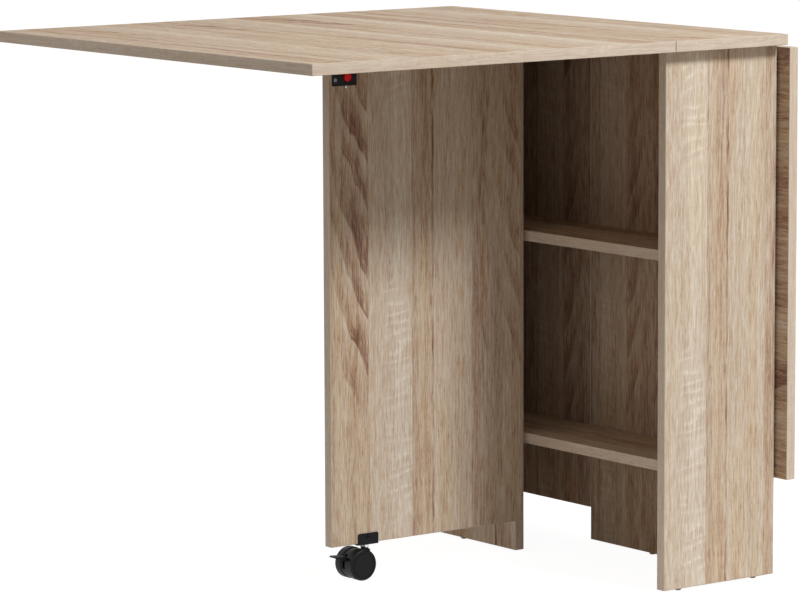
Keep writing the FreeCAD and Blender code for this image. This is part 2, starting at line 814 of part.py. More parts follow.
gate_nodes = {
    "gate": [gate_left],
    "gate_hinge_plates": gate_hinges.moving,
    "gate_screws": gate_hinges.moving_screws,
    "catch_housing": [catch_housing()],
    "catch_bolt": [catch_bolt()],
    "catch_spring": [catch_spring()],
    "catch_screws": catch_screws,
    "release_button": [release_button()],
    "castor_bracket": [castor_bracket()],
    "castor_screws": castor_screws,
    "castor_stem": [castor_stem()],
    "castor_hood": [castor_hood()],
    "castor_axle": [axle_rod(wheel_outer - axle_end_gap, axle_radius)],
    "castor_wheel_inner": [castor_wheel(1)],
    "castor_wheel_outer": [castor_wheel(-1)],
    "brake_lever": [brake_lever()],
}
for group, to_right in ((leaf_nodes, to_right_leaf), (gate_nodes, to_right_gate)):
    for name, solids in group.items():
        nodes[name + "_left"] = solids
        nodes[name + "_right"] = [to_right(solid) for solid in solids]

os.makedirs("parts", exist_ok=True)
for name, solids in nodes.items():
    shape = solids[0] if len(solids) == 1 else Part.makeCompound(solids)
    shape.exportStep("parts/" + name + ".step")
    print(name, len(shape.Solids), round(shape.Volume, 1), shape.isValid())
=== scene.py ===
# %% [markdown]
# # A folding dining table in light sawn oak
# The table is a narrow cabinet with two drop leaves. Its construction comes in as a fixed frame of separate
# solids in metres, so this lesson never moves or reshapes a board, hinge or wheel. It gives every surface its
# finish, adds the small detail that is too fine or too springy for the frame, and sets up light and camera.

# %% Load the frame
import math

import bmesh
import bpy
from mathutils import Matrix, Vector
from mathutils.bvhtree import BVHTree


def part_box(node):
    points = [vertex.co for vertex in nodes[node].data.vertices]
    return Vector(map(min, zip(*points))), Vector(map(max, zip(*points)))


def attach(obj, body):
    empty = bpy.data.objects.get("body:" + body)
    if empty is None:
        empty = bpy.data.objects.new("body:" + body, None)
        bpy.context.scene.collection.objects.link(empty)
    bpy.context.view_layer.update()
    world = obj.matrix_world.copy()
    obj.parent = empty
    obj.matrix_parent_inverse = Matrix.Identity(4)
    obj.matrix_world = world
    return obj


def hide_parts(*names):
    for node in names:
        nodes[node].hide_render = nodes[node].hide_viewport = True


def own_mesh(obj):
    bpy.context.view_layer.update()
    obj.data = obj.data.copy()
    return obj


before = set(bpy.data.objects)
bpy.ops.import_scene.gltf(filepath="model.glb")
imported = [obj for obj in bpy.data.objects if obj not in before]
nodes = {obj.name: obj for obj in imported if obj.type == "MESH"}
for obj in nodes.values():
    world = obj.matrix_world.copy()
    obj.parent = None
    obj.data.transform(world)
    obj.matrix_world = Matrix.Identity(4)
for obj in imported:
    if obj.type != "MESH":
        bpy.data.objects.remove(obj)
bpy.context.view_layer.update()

print("pieces in the frame:", len(nodes))

# %% [markdown]
# ## Camera
# The picture was taken from the front left with a long lens, a little above the top. A long lens keeps the
# uprights nearly parallel. The place, heading and tilt below were worked out from the table's straight
# edges, so the edges of the render fall on the edges of the picture and no lens shift is needed.

# %% Camera
PICTURE_WIDTH = 800
SENSOR_MM = 36.0
FOCAL_PIXELS = 4328.1
FARTHEST_SEEN = 100.0
CAMERA_PLACE = Vector((-3.8645, -4.7677, 1.1909))
CAMERA_HEADING = math.radians(36.922)
CAMERA_TILT = math.radians(-7.726)
CAMERA_ROLL = math.radians(0.237)

camera = bpy.data.objects.new("picture_camera", bpy.data.cameras.new("picture_camera"))
bpy.context.scene.collection.objects.link(camera)
camera.data.sensor_width = SENSOR_MM
camera.data.lens = FOCAL_PIXELS * SENSOR_MM / PICTURE_WIDTH
camera.data.clip_end = FARTHEST_SEEN
camera.matrix_world = (
    Matrix.Translation(CAMERA_PLACE)
    @ Matrix.Rotation(-CAMERA_HEADING, 4, "Z")
    @ Matrix.Rotation(math.pi / 2 + CAMERA_TILT, 4, "X")
    @ Matrix.Rotation(-CAMERA_ROLL, 4, "Z")
)
bpy.context.scene.camera = camera
bpy.context.scene.view_settings.view_transform = "Standard"
print("lens in millimetres:", round(camera.data.lens, 1))

# %% [markdown]
# ## Short calls for node trees
# A procedural finish is a small network of nodes. Adding each node by hand takes many lines, so these helpers
# add one node, link or set its inputs and give back its output. With them a pattern reads like a formula.

# %% One node at a time
MIX_FACTOR = 0
MIX_UNDER = 6
MIX_OVER = 7
MIX_COLOUR = 2


def add_node(tree, kind, inputs=None, **options):
    """Add one node. An input that is an output of another node is linked, any other value is set."""
    node = tree.nodes.new(kind)
    for name, value in options.items():
        setattr(node, name, value)
    for key, value in (inputs or {}).items():
        if isinstance(value, bpy.types.NodeSocket):
            tree.links.new(value, node.inputs[key])
        else:
            node.inputs[key].default_value = value
    return node


def calc(tree, operation, *values, clamp=False):
    inputs = dict(enumerate(values))
    return add_node(tree, "ShaderNodeMath", inputs, operation=operation, use_clamp=clamp).outputs[0]


def product(tree, first, *others):
    for other in others:
        first = calc(tree, "MULTIPLY", first, other)
    return first


def total(tree, first, *others):
    for other in others:
        first = calc(tree, "ADD", first, other)
    return first


def blend(tree, factor, under, over, mode="MIX"):
    inputs = {MIX_FACTOR: factor, MIX_UNDER: under, MIX_OVER: over}
    return add_node(tree, "ShaderNodeMix", inputs, data_type="RGBA", blend_type=mode).outputs[MIX_COLOUR]


def smooth_step(tree, value, low, high, start=0.0, end=1.0):
    """From start to end as a value goes from low to high. The low may lie above the high."""
    inputs = {"Value": value, "From Min": low, "From Max": high, "To Min": start, "To Max": end}
    return add_node(tree, "ShaderNodeMapRange", inputs, interpolation_type="SMOOTHSTEP").outputs[0]


def noise(tree, vector, scale, detail=2.0, roughness=0.5):
    inputs = {"Vector": vector, "Scale": scale, "Detail": detail, "Roughness": roughness}
    return add_node(tree, "ShaderNodeTexNoise", inputs).outputs[0]


def centred(tree, value, reach):
    """A noise of zero to one as a shift about nothing, as wide as the reach."""
    return calc(tree, "MULTIPLY_ADD", value, reach, -reach / 2)


print("node helpers are ready")

# %% Colours and finishes
def colour_ramp(tree, value, stops, interpolation="LINEAR"):
    node = add_node(tree, "ShaderNodeValToRGB", {"Fac": value})
    ramp = node.color_ramp
    ramp.interpolation = interpolation
    while len(ramp.elements) < len(stops):
        ramp.elements.new(1.0)
    for element, (place, colour) in zip(ramp.elements, stops):
        element.position = place
        element.color = colour
    return node.outputs[0]


def paint(red, green, blue):
    """A colour as it looks on screen, 0 to 255, as the linear values that a shader takes."""
    def linear(value):
        share = value / 255
        return share / 12.92 if share <= 0.04045 else ((share + 0.055) / 1.055) ** 2.4
    return (linear(red), linear(green), linear(blue), 1.0)


def new_finish(name):
    """A material with nothing but a Principled shader, its tree and the shader."""
    material = bpy.data.materials.new(name)
    material.use_nodes = True
    return material, material.node_tree, material.node_tree.nodes["Principled BSDF"]


def add_bump(tree, shader, height, distance, strength):
    inputs = {"Height": height, "Distance": distance, "Strength": strength}
    tree.links.new(add_node(tree, "ShaderNodeBump", inputs).outputs[0], shader.inputs["Normal"])


def cover(material, *names):
    for name in names:
        mesh = nodes[name].data
        mesh.materials.clear()
        mesh.materials.append(material)
    print(material.name, "covers", len(names), "pieces")


print("finish helpers are ready")

# %% [markdown]
# ## The oak sheet
# The boards are chipboard faced with a printed sheet that copies sawn oak. The print shows narrow staves side
# by side. Each stave has straight edges and its own tone, and some have flames, where the rings were cut at a
# slant, or pale saw marks across the grain. One stave ends in a dark, knotty line.
# It could be made as an image, but a node group has no pixels and never repeats visibly. The group takes a
# place on the sheet, along and across the grain in metres. It adds up one lightness from all the layers of
# the pattern, and one ramp turns it into a colour, since on oak the dark marks are rosy and the pale ones
# grey.

# %% Staves of the oak sheet
# Each stave: width in metres, lightness, strength of its streaks, of its flames and of its saw marks
STAVES = [
    (0.066, 0.55, 0.80, 1.00, 0.15),
    (0.074, 0.63, 0.50, 0.00, 1.00),
    (0.037, 0.49, 0.90, 0.00, 0.15),
    (0.068, 0.60, 0.60, 0.00, 0.05),
    (0.030, 0.51, 1.00, 0.25, 0.00),
    (0.060, 0.56, 0.70, 0.45, 0.00),
    (0.058, 0.62, 0.50, 0.00, 0.60),
    (0.044, 0.54, 0.90, 0.00, 0.20),
    (0.072, 0.58, 0.60, 0.60, 0.20),
    (0.035, 0.52, 1.00, 0.00, 0.10),
    (0.066, 0.61, 0.50, 0.00, 0.80),
]
SHEET_WIDTH = sum(stave[0] for stave in STAVES)
STAVE_STARTS = [sum(stave[0] for stave in STAVES[:index]) for index in range(len(STAVES))]
STAVE_EDGE = 0.0005


def read_stave(tree, across):
    """What a place across the sheet falls on: the stave's tone, its strengths, and how far into it."""
    share = calc(tree, "DIVIDE", calc(tree, "WRAP", across, SHEET_WIDTH, 0.0), SHEET_WIDTH)
    starts = [start / SHEET_WIDTH for start in STAVE_STARTS]
    tones = [(start, (stave[1], stave[1], stave[1], 1.0)) for start, stave in zip(starts, STAVES)]
    powers = [(start, (*stave[2:5], 1.0)) for start, stave in zip(starts, STAVES)]
    climb = []
    for start, end in zip(starts, starts[1:] + [1.0]):
        climb += [(start, (0, 0, 0, 1)), (end - STAVE_EDGE, (1, 1, 1, 1))]
    tone = colour_ramp(tree, share, tones, "CONSTANT")
    power = add_node(tree, "ShaderNodeSeparateColor", {0: colour_ramp(tree, share, powers, "CONSTANT")})
    return tone, power.outputs, colour_ramp(tree, share, climb)


print("staves:", len(STAVES), "sheet width in metres:", round(SHEET_WIDTH, 3))

# %% Layers of the print
# Each layer of noise: its detail per metre along and across the grain, its own place in the noise, and the
# noise's finer detail and roughness
LAYERS = {
    "wander": (1.7, 6.0, 1.0, 2.0, 0.5),
    "ripple": (42.0, 70.0, 2.0, 3.0, 0.5),
    "fibres": (46.0, 620.0, 3.0, 4.0, 0.75),
    "streaks": (9.0, 190.0, 4.0, 3.0, 0.6),
    "bands": (1.8, 58.0, 5.0, 2.0, 0.5),
    "pores": (110.0, 1900.0, 6.0, 1.0, 0.5),
    "flame sway": (9.0, 26.0, 7.0, 3.0, 0.5),
    "flame spread": (7.0, 0.0, 8.0, 2.0, 0.5),
    "flame lines": (150.0, 60.0, 9.0, 2.0, 0.5),
    "saw waver": (30.0, 11.0, 10.0, 2.0, 0.5),
    "saw ticks": (90.0, 420.0, 11.0, 2.0, 0.5),
    "saw patches": (11.0, 22.0, 12.0, 2.0, 0.5),
    "knot twist": (26.0, 0.0, 13.0, 3.0, 0.5),
    "knot breaks": (14.0, 0.0, 14.0, 2.0, 0.5),
    "gold": (2.4, 46.0, 15.0, 2.0, 0.5),
    "lines": (27.0, 440.0, 16.0, 2.0, 0.6),
}
ZONE_LENGTH = 1.3


def on_sheet(tree, along, across, seed):
    return add_node(tree, "ShaderNodeCombineXYZ", {0: along, 1: across, 2: seed}).outputs[0]


def layer(tree, name, along, across=0.0):
    """One layer of noise, long along the grain, by its row in LAYERS."""
    per_along, per_across, seed, detail, roughness = LAYERS[name]
    stretched = calc(tree, "MULTIPLY", along, per_along)
    squeezed = calc(tree, "MULTIPLY", across, per_across)
    return noise(tree, on_sheet(tree, stretched, squeezed, seed), 1.0, detail, roughness)


def zone(tree, along, middle, length):
    """One at the middle of a stretch along the sheet, nothing half a length away, again and again."""
    turn = calc(tree, "MULTIPLY", calc(tree, "SUBTRACT", along, middle), 2 * math.pi / length)
    return calc(tree, "MULTIPLY_ADD", calc(tree, "COSINE", turn), 0.5, 0.5)


print("layers of the print:", len(LAYERS))

# %% Flames
FLAME_DROP = 0.17
FLAME_CURVE = 0.75
FLAME_STEP = 0.074
FLAME_SWAY = 0.075
FLAME_SPREAD = 1.3
FLAME_MIDDLE = 0.60
FLAME_ZONE = (0.30, 0.62)
RING_EDGE = (0.0, 0.05)
RING_FADE = (1.0, 0.15)


def oak_flames(tree, along, across, in_stave):
    """Slanting rings: each comes down across its stave, darkens on the way and ends in a sharp lower edge."""
    drop = calc(tree, "MULTIPLY", calc(tree, "POWER", in_stave, FLAME_CURVE), FLAME_DROP)
    sway = centred(tree, layer(tree, "flame sway", along, across), FLAME_SWAY)
    place = total(tree, along, drop, sway)
    spread = centred(tree, layer(tree, "flame spread", place), FLAME_SPREAD)
    turn = total(tree, calc(tree, "DIVIDE", place, FLAME_STEP), spread)
    ring = calc(tree, "FRACT", turn)
    body = product(tree, smooth_step(tree, ring, *RING_EDGE), smooth_step(tree, ring, *RING_FADE))
    number = {"W": calc(tree, "FLOOR", turn)}
    chance = add_node(tree, "ShaderNodeTexWhiteNoise", number, noise_dimensions="1D").outputs["Value"]
    strength = smooth_step(tree, chance, 0.0, 0.9, 0.25, 1.0)
    lines = smooth_step(tree, layer(tree, "flame lines", place, across), 0.32, 0.68, 0.60, 1.10)
    darker = smooth_step(tree, in_stave, 0.0, 0.85, 0.25, 1.0)
    upper = smooth_step(tree, zone(tree, along, FLAME_MIDDLE, ZONE_LENGTH), *FLAME_ZONE)
    return product(tree, body, strength, lines, darker, upper)


print("rings of a flame come every", FLAME_STEP, "metres")

# %% Saw marks and the knotty line
SAW_STEP = 0.0165
SAW_SLANT = 0.15
SAW_WAVER = 0.048
SAW_MIDDLE = 0.24
SAW_ZONE = (0.02, 0.45)
MARK_EDGE = (0.0, 0.22)
MARK_FADE = (0.62, 0.22)
KNOTTY_LINE = STAVE_STARTS[3]
KNOT_TWIST = 0.007
KNOT_WIDTH = (0.0026, 0.0004)


def oak_saw_marks(tree, along, across, in_stave):
    """Pale scratches across the grain, broken into ticks, on a stretch of the sheet."""
    waver = centred(tree, layer(tree, "saw waver", along, across), SAW_WAVER)
    place = total(tree, calc(tree, "MULTIPLY_ADD", across, -SAW_SLANT, along), waver)
    mark = calc(tree, "FRACT", calc(tree, "DIVIDE", place, SAW_STEP))
    body = product(tree, smooth_step(tree, mark, *MARK_EDGE), smooth_step(tree, mark, *MARK_FADE))
    ticks = smooth_step(tree, layer(tree, "saw ticks", along, across), 0.34, 0.64, 0.10, 1.0)
    patch = smooth_step(tree, layer(tree, "saw patches", along, across), 0.36, 0.56)
    stretch = smooth_step(tree, zone(tree, along, SAW_MIDDLE, ZONE_LENGTH / 2), *SAW_ZONE)
    inner = product(tree, smooth_step(tree, in_stave, 0.20, 0.66), smooth_step(tree, in_stave, 1.0, 0.90))
    return product(tree, body, ticks, patch, stretch, inner)


def oak_knots(tree, along, across):
    """A dark line between two staves that twists and breaks off."""
    wrapped = calc(tree, "WRAP", across, SHEET_WIDTH, 0.0)
    twisted = total(tree, wrapped, centred(tree, layer(tree, "knot twist", along), KNOT_TWIST))
    from_line = calc(tree, "ABSOLUTE", calc(tree, "SUBTRACT", twisted, KNOTTY_LINE))
    broken = smooth_step(tree, layer(tree, "knot breaks", along), 0.35, 0.62)
    return product(tree, smooth_step(tree, from_line, *KNOT_WIDTH), broken)


print("saw marks come every", SAW_STEP, "metres")

# %% The oak sheet as a node group
# Lightness and colour of the print, from the darkest rings to the palest saw marks
OAK_TONES = [
    (0.00, paint(122, 92, 79)),
    (0.25, paint(161, 130, 111)),
    (0.45, paint(188, 164, 141)),
    (0.60, paint(201, 183, 162)),
    (0.78, paint(213, 201, 184)),
    (1.00, paint(230, 222, 209)),
]
GOLD = (1.0, 0.965, 0.89, 1.0)
GOLD_SHARE = 0.9
# How far the grain leaves its straight way, in metres
WANDER = 0.030
RIPPLE = 0.0032
# How much each layer lightens or darkens the print
STREAK_REACH = 0.62
BAND_REACH = 0.66
FIBRE_REACH = 0.95
LINE_REACH = 0.20
FLAME_DEPTH = 0.54
KNOT_DEPTH = 0.34
PORE_DEPTH = 0.20
CORE_LIFT = 0.09
SAW_LIFT = 0.26
# Roughness of the sheet, and what fibres and pores add to it
SHEET_ROUGHNESS = 0.62
FIBRE_ROUGHNESS = 0.16
PORE_ROUGHNESS = 0.15
FIBRE_HEIGHT = 0.5


def add_sockets(tree, way, kind, *names):
    for name in names:
        tree.interface.new_socket(name, in_out=way, socket_type="NodeSocket" + kind)


def oak_sheet():
    tree = bpy.data.node_groups.new("sawn_oak_sheet", "ShaderNodeTree")
    add_sockets(tree, "INPUT", "Float", "Along", "Across", "Lightness")
    add_sockets(tree, "OUTPUT", "Color", "Colour")
    add_sockets(tree, "OUTPUT", "Float", "Roughness", "Height")
    source = tree.nodes.new("NodeGroupInput").outputs
    result = tree.nodes.new("NodeGroupOutput").inputs
    along, across = source["Along"], source["Across"]
    tone, (streak_power, flame_power, saw_power), in_stave = read_stave(tree, across)

    wander = centred(tree, layer(tree, "wander", along, across), WANDER)
    ripple = centred(tree, layer(tree, "ripple", along, across), RIPPLE)
    bent = total(tree, across, wander, ripple)
    fibres = layer(tree, "fibres", along, bent)
    streaks = layer(tree, "streaks", along, bent)
    bands = layer(tree, "bands", along, bent)
    lines = smooth_step(tree, layer(tree, "lines", along, bent), 0.36, 0.62)
    pores = smooth_step(tree, layer(tree, "pores", along, bent), 0.58, 0.66)
    pitted = product(tree, pores, smooth_step(tree, streaks, 0.66, 0.40))
    flame = product(tree, oak_flames(tree, along, across, in_stave), flame_power)
    mark = product(tree, oak_saw_marks(tree, along, across, in_stave), saw_power)
    knotty = oak_knots(tree, along, across)
    rising, falling = smooth_step(tree, in_stave, 0.40, 0.70), smooth_step(tree, in_stave, 1.0, 0.85)
    core = product(tree, rising, falling, saw_power)

    grainy = total(tree, centred(tree, streaks, STREAK_REACH), centred(tree, bands, BAND_REACH))
    # The board's shift in lightness, added here to the whole print, is painted light or painted shade
    lightness = total(tree, tone, source["Lightness"], product(tree, grainy, streak_power))
    lightness = total(tree, lightness, centred(tree, fibres, FIBRE_REACH), centred(tree, lines, LINE_REACH))
    lightness = calc(tree, "MULTIPLY_ADD", flame, -FLAME_DEPTH, lightness)
    lightness = calc(tree, "MULTIPLY_ADD", knotty, -KNOT_DEPTH, lightness)
    lightness = calc(tree, "MULTIPLY_ADD", pitted, -PORE_DEPTH, lightness)
    lightness = calc(tree, "MULTIPLY_ADD", core, CORE_LIFT, lightness)
    lightness = calc(tree, "MULTIPLY_ADD", mark, SAW_LIFT, lightness, clamp=True)
    golden = smooth_step(tree, layer(tree, "gold", along, bent), 0.42, 0.66, 0.0, GOLD_SHARE)
    colour = blend(tree, golden, colour_ramp(tree, lightness, OAK_TONES), GOLD, "MULTIPLY")

    height = calc(tree, "SUBTRACT", calc(tree, "MULTIPLY", fibres, FIBRE_HEIGHT), pitted)
    rough = calc(tree, "MULTIPLY_ADD", fibres, FIBRE_ROUGHNESS, SHEET_ROUGHNESS)
    rough = calc(tree, "MULTIPLY_ADD", pitted, PORE_ROUGHNESS, rough)
    tree.links.new(colour, result["Colour"])
    tree.links.new(rough, result["Roughness"])
    tree.links.new(height, result["Height"])
    return tree


OAK_SHEET = oak_sheet()
print("nodes in the oak sheet:", len(OAK_SHEET.nodes))

# %% [markdown]
# ## A board with its edge bands
# A faced board shows chipboard on its edges, so a one millimetre band in the same print is glued round it.
# The grain of a band runs along the edge, whichever way the grain of the face runs. A second group therefore
# asks how near a point is to the board's outline: inside, it reads the sheet as the face lies, and within the
# band it reads the sheet along the edge. A hairline joint shows between the two.

# %% The board group
BAND = 0.001
BAND_TONE = paint(214, 201, 186)
BAND_SHARE = 0.5
JOINT_LINE = 0.00022
JOINT_COLOUR = paint(118, 94, 77)
JOINT_SHARE = 0.45
JOINT_DEPTH = 1.5


def oak_board():
    tree = bpy.data.node_groups.new("oak_faced_board", "ShaderNodeTree")
    add_sockets(tree, "INPUT", "Vector", "Place", "Middle", "Half Size", "Sheet Start")
    add_sockets(tree, "INPUT", "Float", "Lightness")
    add_sockets(tree, "OUTPUT", "Color", "Colour")
    add_sockets(tree, "OUTPUT", "Float", "Roughness", "Height")
    source = tree.nodes.new("NodeGroupInput").outputs
    result = tree.nodes.new("NodeGroupOutput").inputs

    def parts(socket):
        return add_node(tree, "ShaderNodeSeparateXYZ", {0: socket}).outputs

    from_middle = {0: source["Place"], 1: source["Middle"]}
    offset = add_node(tree, "ShaderNodeVectorMath", from_middle, operation="SUBTRACT").outputs[0]
    along, across, depth = parts(offset)
    half_along, half_across = parts(source["Half Size"])[:2]
    along_start, across_start, band_start = parts(source["Sheet Start"])
    to_end = calc(tree, "SUBTRACT", half_along, calc(tree, "ABSOLUTE", along))
    to_side = calc(tree, "SUBTRACT", half_across, calc(tree, "ABSOLUTE", across))
    nearest = calc(tree, "MINIMUM", to_end, to_side)
    on_end = calc(tree, "LESS_THAN", to_end, BAND)
    on_band = calc(tree, "LESS_THAN", nearest, BAND)

    face_along = calc(tree, "ADD", along, along_start)
    face_across = calc(tree, "ADD", across, across_start)
    end_along = calc(tree, "ADD", across, along_start)
    band_across = calc(tree, "ADD", depth, band_start)
    sheet = add_node(tree, "ShaderNodeGroup", node_tree=OAK_SHEET)
    read_along = add_node(tree, "ShaderNodeMix", {0: on_end, 2: face_along, 3: end_along}).outputs[0]
    read_across = add_node(tree, "ShaderNodeMix", {0: on_band, 2: face_across, 3: band_across}).outputs[0]
    off_band = calc(tree, "SUBTRACT", 1.0, on_band)
    tree.links.new(read_along, sheet.inputs["Along"])
    tree.links.new(read_across, sheet.inputs["Across"])
    # The board's painted light or painted shade lies on its face only, not on its edge bands
    tree.links.new(product(tree, off_band, source["Lightness"]), sheet.inputs["Lightness"])

    from_joint = calc(tree, "ABSOLUTE", calc(tree, "SUBTRACT", nearest, BAND))
    joint = smooth_step(tree, from_joint, JOINT_LINE, JOINT_LINE / 3)
    paler = calc(tree, "MULTIPLY", on_band, BAND_SHARE)
    colour = blend(tree, paler, sheet.outputs["Colour"], BAND_TONE)
    colour = blend(tree, calc(tree, "MULTIPLY", joint, JOINT_SHARE), colour, JOINT_COLOUR)
    height = calc(tree, "SUBTRACT", sheet.outputs["Height"], calc(tree, "MULTIPLY", joint, JOINT_DEPTH))
    tree.links.new(colour, result["Colour"])
    tree.links.new(sheet.outputs["Roughness"], result["Roughness"])
    tree.links.new(height, result["Height"])
    return tree


OAK_BOARD = oak_board()
print("nodes in the board group:", len(OAK_BOARD.nodes))

# %% [markdown]
# ## Every board takes its own cut of the sheet
# Boards are cut from large faced panels, so neighbours never show the same place of the print. Each board
# gets its own start on the sheet. The grain stands upright on the gates and the uprights, and runs along the
# hinge lines on the tops and shelves, as the picture shows. Object coordinates keep the grain on a board when
# it swings.
# Each board's print is also made lighter or darker as a whole: painted light on the lit front boards and
# painted shade on the boards that stand in shade.

# %% Boards
AXES = {"x": 0, "y": 1, "z": 2}
GRAIN_BUMP = 0.00012
GRAIN_BUMP_STRENGTH = 0.5
WOOD_SPECULAR = 0.05
PALE_STAVE_MIDDLE = STAVE_STARTS[1] + 0.030
# Each board: its grain, across and thickness axes, the place on the sheet of its middle, along and across,
# and how much lighter or darker its print is made. That shift is painted light on the lit front boards
# and painted shade on the right gate, the right side panel and the shelves inside, and the hanging leaf
BOARDS = {
    "gate_left": ("zxy", 0.3916, 0.1675, 0.02),
    "gate_right": ("zyx", 0.52, 0.44, -0.14),
    "end_panel_front": ("zxy", 0.452, 0.1655, 0.05),
    "end_panel_rear": ("zxy", 0.95, 0.50, 0.0),
    "side_panel_left": ("zyx", 1.31, 0.30, 0.0),
    "side_panel_right": ("zyx", 0.452, 0.245, -0.10),
    "centre_top": ("yxz", 2.10, 0.36, 0.02),
    "leaf_left": ("yxz", 2.80, 0.52, 0.0),
    "leaf_right": ("yzx", 3.60, 0.20, -0.15),
    "shelf_upper": ("yxz", 4.40, 0.22, -0.05),
    "shelf_lower": ("yxz", 5.10, 0.42, -0.05),
}


def oak_finish(name, axes, along_start, across_start, lightness):
    material, tree, shader = new_finish("oak_" + name)
    low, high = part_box(name)
    middle = (low + high) / 2
    half = (high - low) / 2
    order = [AXES[axis] for axis in axes]
    place = add_node(tree, "ShaderNodeTexCoord").outputs["Object"]
    parts = add_node(tree, "ShaderNodeSeparateXYZ", {0: place}).outputs
    turned = add_node(tree, "ShaderNodeCombineXYZ", {slot: parts[axis] for slot, axis in enumerate(order)})
    board = add_node(tree, "ShaderNodeGroup", node_tree=OAK_BOARD)
    tree.links.new(turned.outputs[0], board.inputs["Place"])
    board.inputs["Middle"].default_value = [middle[axis] for axis in order]
    board.inputs["Half Size"].default_value = [half[axis] for axis in order]
    board.inputs["Sheet Start"].default_value = (along_start, across_start, PALE_STAVE_MIDDLE)
    # The board's shift in lightness: painted light or painted shade
    board.inputs["Lightness"].default_value = lightness
    tree.links.new(board.outputs["Colour"], shader.inputs["Base Color"])
    tree.links.new(board.outputs["Roughness"], shader.inputs["Roughness"])
    add_bump(tree, shader, board.outputs["Height"], GRAIN_BUMP, GRAIN_BUMP_STRENGTH)
    shader.inputs["Specular IOR Level"].default_value = WOOD_SPECULAR
    return material


for board_name, cut in BOARDS.items():
    cover(oak_finish(board_name, *cut), board_name)

# %% [markdown]
# ## Metals
# The hinges, screws and axles are zinc-plated steel, the cams and shelf pins are cast zinc, the screws of the
# catch are duller, and the collar of the castor is turned bright. Metal takes its look from what it mirrors,
# so the shader is fully metallic and the detail is in its roughness: rolling lines on plate, cloudy plating,
# rings left by the lathe.

# %% Metal finishes
SIDES = ("left", "right")
# Noise rarely leaves this range, so a step over it uses a blend from end to end
USUAL_NOISE = (0.3, 0.7)
PLATING_CLOUDS = 160.0
METAL_BUMP = 0.00003
METAL_BUMP_STRENGTH = 0.4


def both_sides(*groups):
    return [group + "_" + side for group in groups for side in SIDES]


def object_place(tree, scale=(1.0, 1.0, 1.0), centre=(0.0, 0.0, 0.0)):
    """Object coordinates, centred on a point and stretched per axis."""
    place = add_node(tree, "ShaderNodeTexCoord").outputs["Object"]
    moved = add_node(tree, "ShaderNodeVectorMath", {0: place, 1: centre}, operation="SUBTRACT").outputs[0]
    return add_node(tree, "ShaderNodeVectorMath", {0: moved, 1: scale}, operation="MULTIPLY").outputs[0]


def metal_finish(name, dark, light, lines_per_metre, smoothest, roughest):
    """Plated or cast metal with lines along one axis, by their number per metre on each axis."""
    material, tree, shader = new_finish(name)
    lines = noise(tree, object_place(tree, lines_per_metre), 1.0, 3.0, 0.6)
    clouds = noise(tree, object_place(tree), PLATING_CLOUDS)
    tint = blend(tree, smooth_step(tree, clouds, *USUAL_NOISE), dark, light)
    rough = smooth_step(tree, lines, 0.25, 0.75, smoothest, roughest)
    tree.links.new(tint, shader.inputs["Base Color"])
    tree.links.new(rough, shader.inputs["Roughness"])
    add_bump(tree, shader, lines, METAL_BUMP, METAL_BUMP_STRENGTH)
    shader.inputs["Metallic"].default_value = 1.0
    return material


plated_steel = metal_finish(
    "plated_steel", paint(178, 179, 180), paint(206, 207, 209), (2600.0, 2600.0, 400.0), 0.26, 0.42
)
cast_zinc = metal_finish(
    "cast_zinc", paint(165, 166, 168), paint(190, 191, 194), (900.0, 900.0, 900.0), 0.38, 0.55
)
dull_steel = metal_finish(
    "dull_steel", paint(112, 113, 115), paint(142, 143, 145), (900.0, 900.0, 900.0), 0.36, 0.50
)
turned_steel = metal_finish(
    "turned_steel", paint(206, 207, 209), paint(228, 229, 231), (60.0, 60.0, 4200.0), 0.14, 0.26
)
cover(plated_steel, *both_sides("leaf_hinge_plates", "leaf_screws", "gate_hinge_plates", "gate_screws"))
cover(plated_steel, *both_sides("catch_bolt", "catch_spring", "castor_axle"))
cover(plated_steel, "leaf_hinge_fixed_plates", "leaf_hinge_pins", "cabinet_hinge_screws")
cover(plated_steel, "gate_hinge_fixed_plates", "gate_hinge_pins", "cam_bolts")
cover(cast_zinc, "cam_locks", "shelf_pins")
cover(dull_steel, *both_sides("catch_screws"))
cover(turned_steel, *both_sides("castor_stem"))

# %% [markdown]
# ## Plastics and paint
# The catch, hood, lever and wheels are moulded black plastic, and the castor's bracket is powder-coated
# steel. Black parts look dead when they are one flat value. Moulded plastic has a fine spark-eroded grain and
# a slightly uneven gloss, and powder coat has a soft orange peel.

# %% Plastic and painted finishes
PLASTIC_SPECULAR = 0.2
MOULD_CLOUDS = 90.0
MOULD_GRAIN_SHARE = 0.4
MOULD_BUMP = 0.00004
POWDER_BUMP = 0.00007
MOULD_BUMP_STRENGTH = 0.6


def moulded_finish(name, dark, light, grain_per_metre, smoothest, roughest, bump=MOULD_BUMP):
    material, tree, shader = new_finish(name)
    fine = noise(tree, object_place(tree), grain_per_metre, 2.0, 0.6)
    clouds = noise(tree, object_place(tree), MOULD_CLOUDS, 3.0)
    tint = blend(tree, smooth_step(tree, clouds, *USUAL_NOISE), dark, light)
    uneven = total(tree, clouds, centred(tree, fine, MOULD_GRAIN_SHARE))
    tree.links.new(tint, shader.inputs["Base Color"])
    tree.links.new(smooth_step(tree, uneven, *USUAL_NOISE, smoothest, roughest), shader.inputs["Roughness"])
    add_bump(tree, shader, fine, bump, MOULD_BUMP_STRENGTH)
    shader.inputs["Specular IOR Level"].default_value = PLASTIC_SPECULAR
    return material


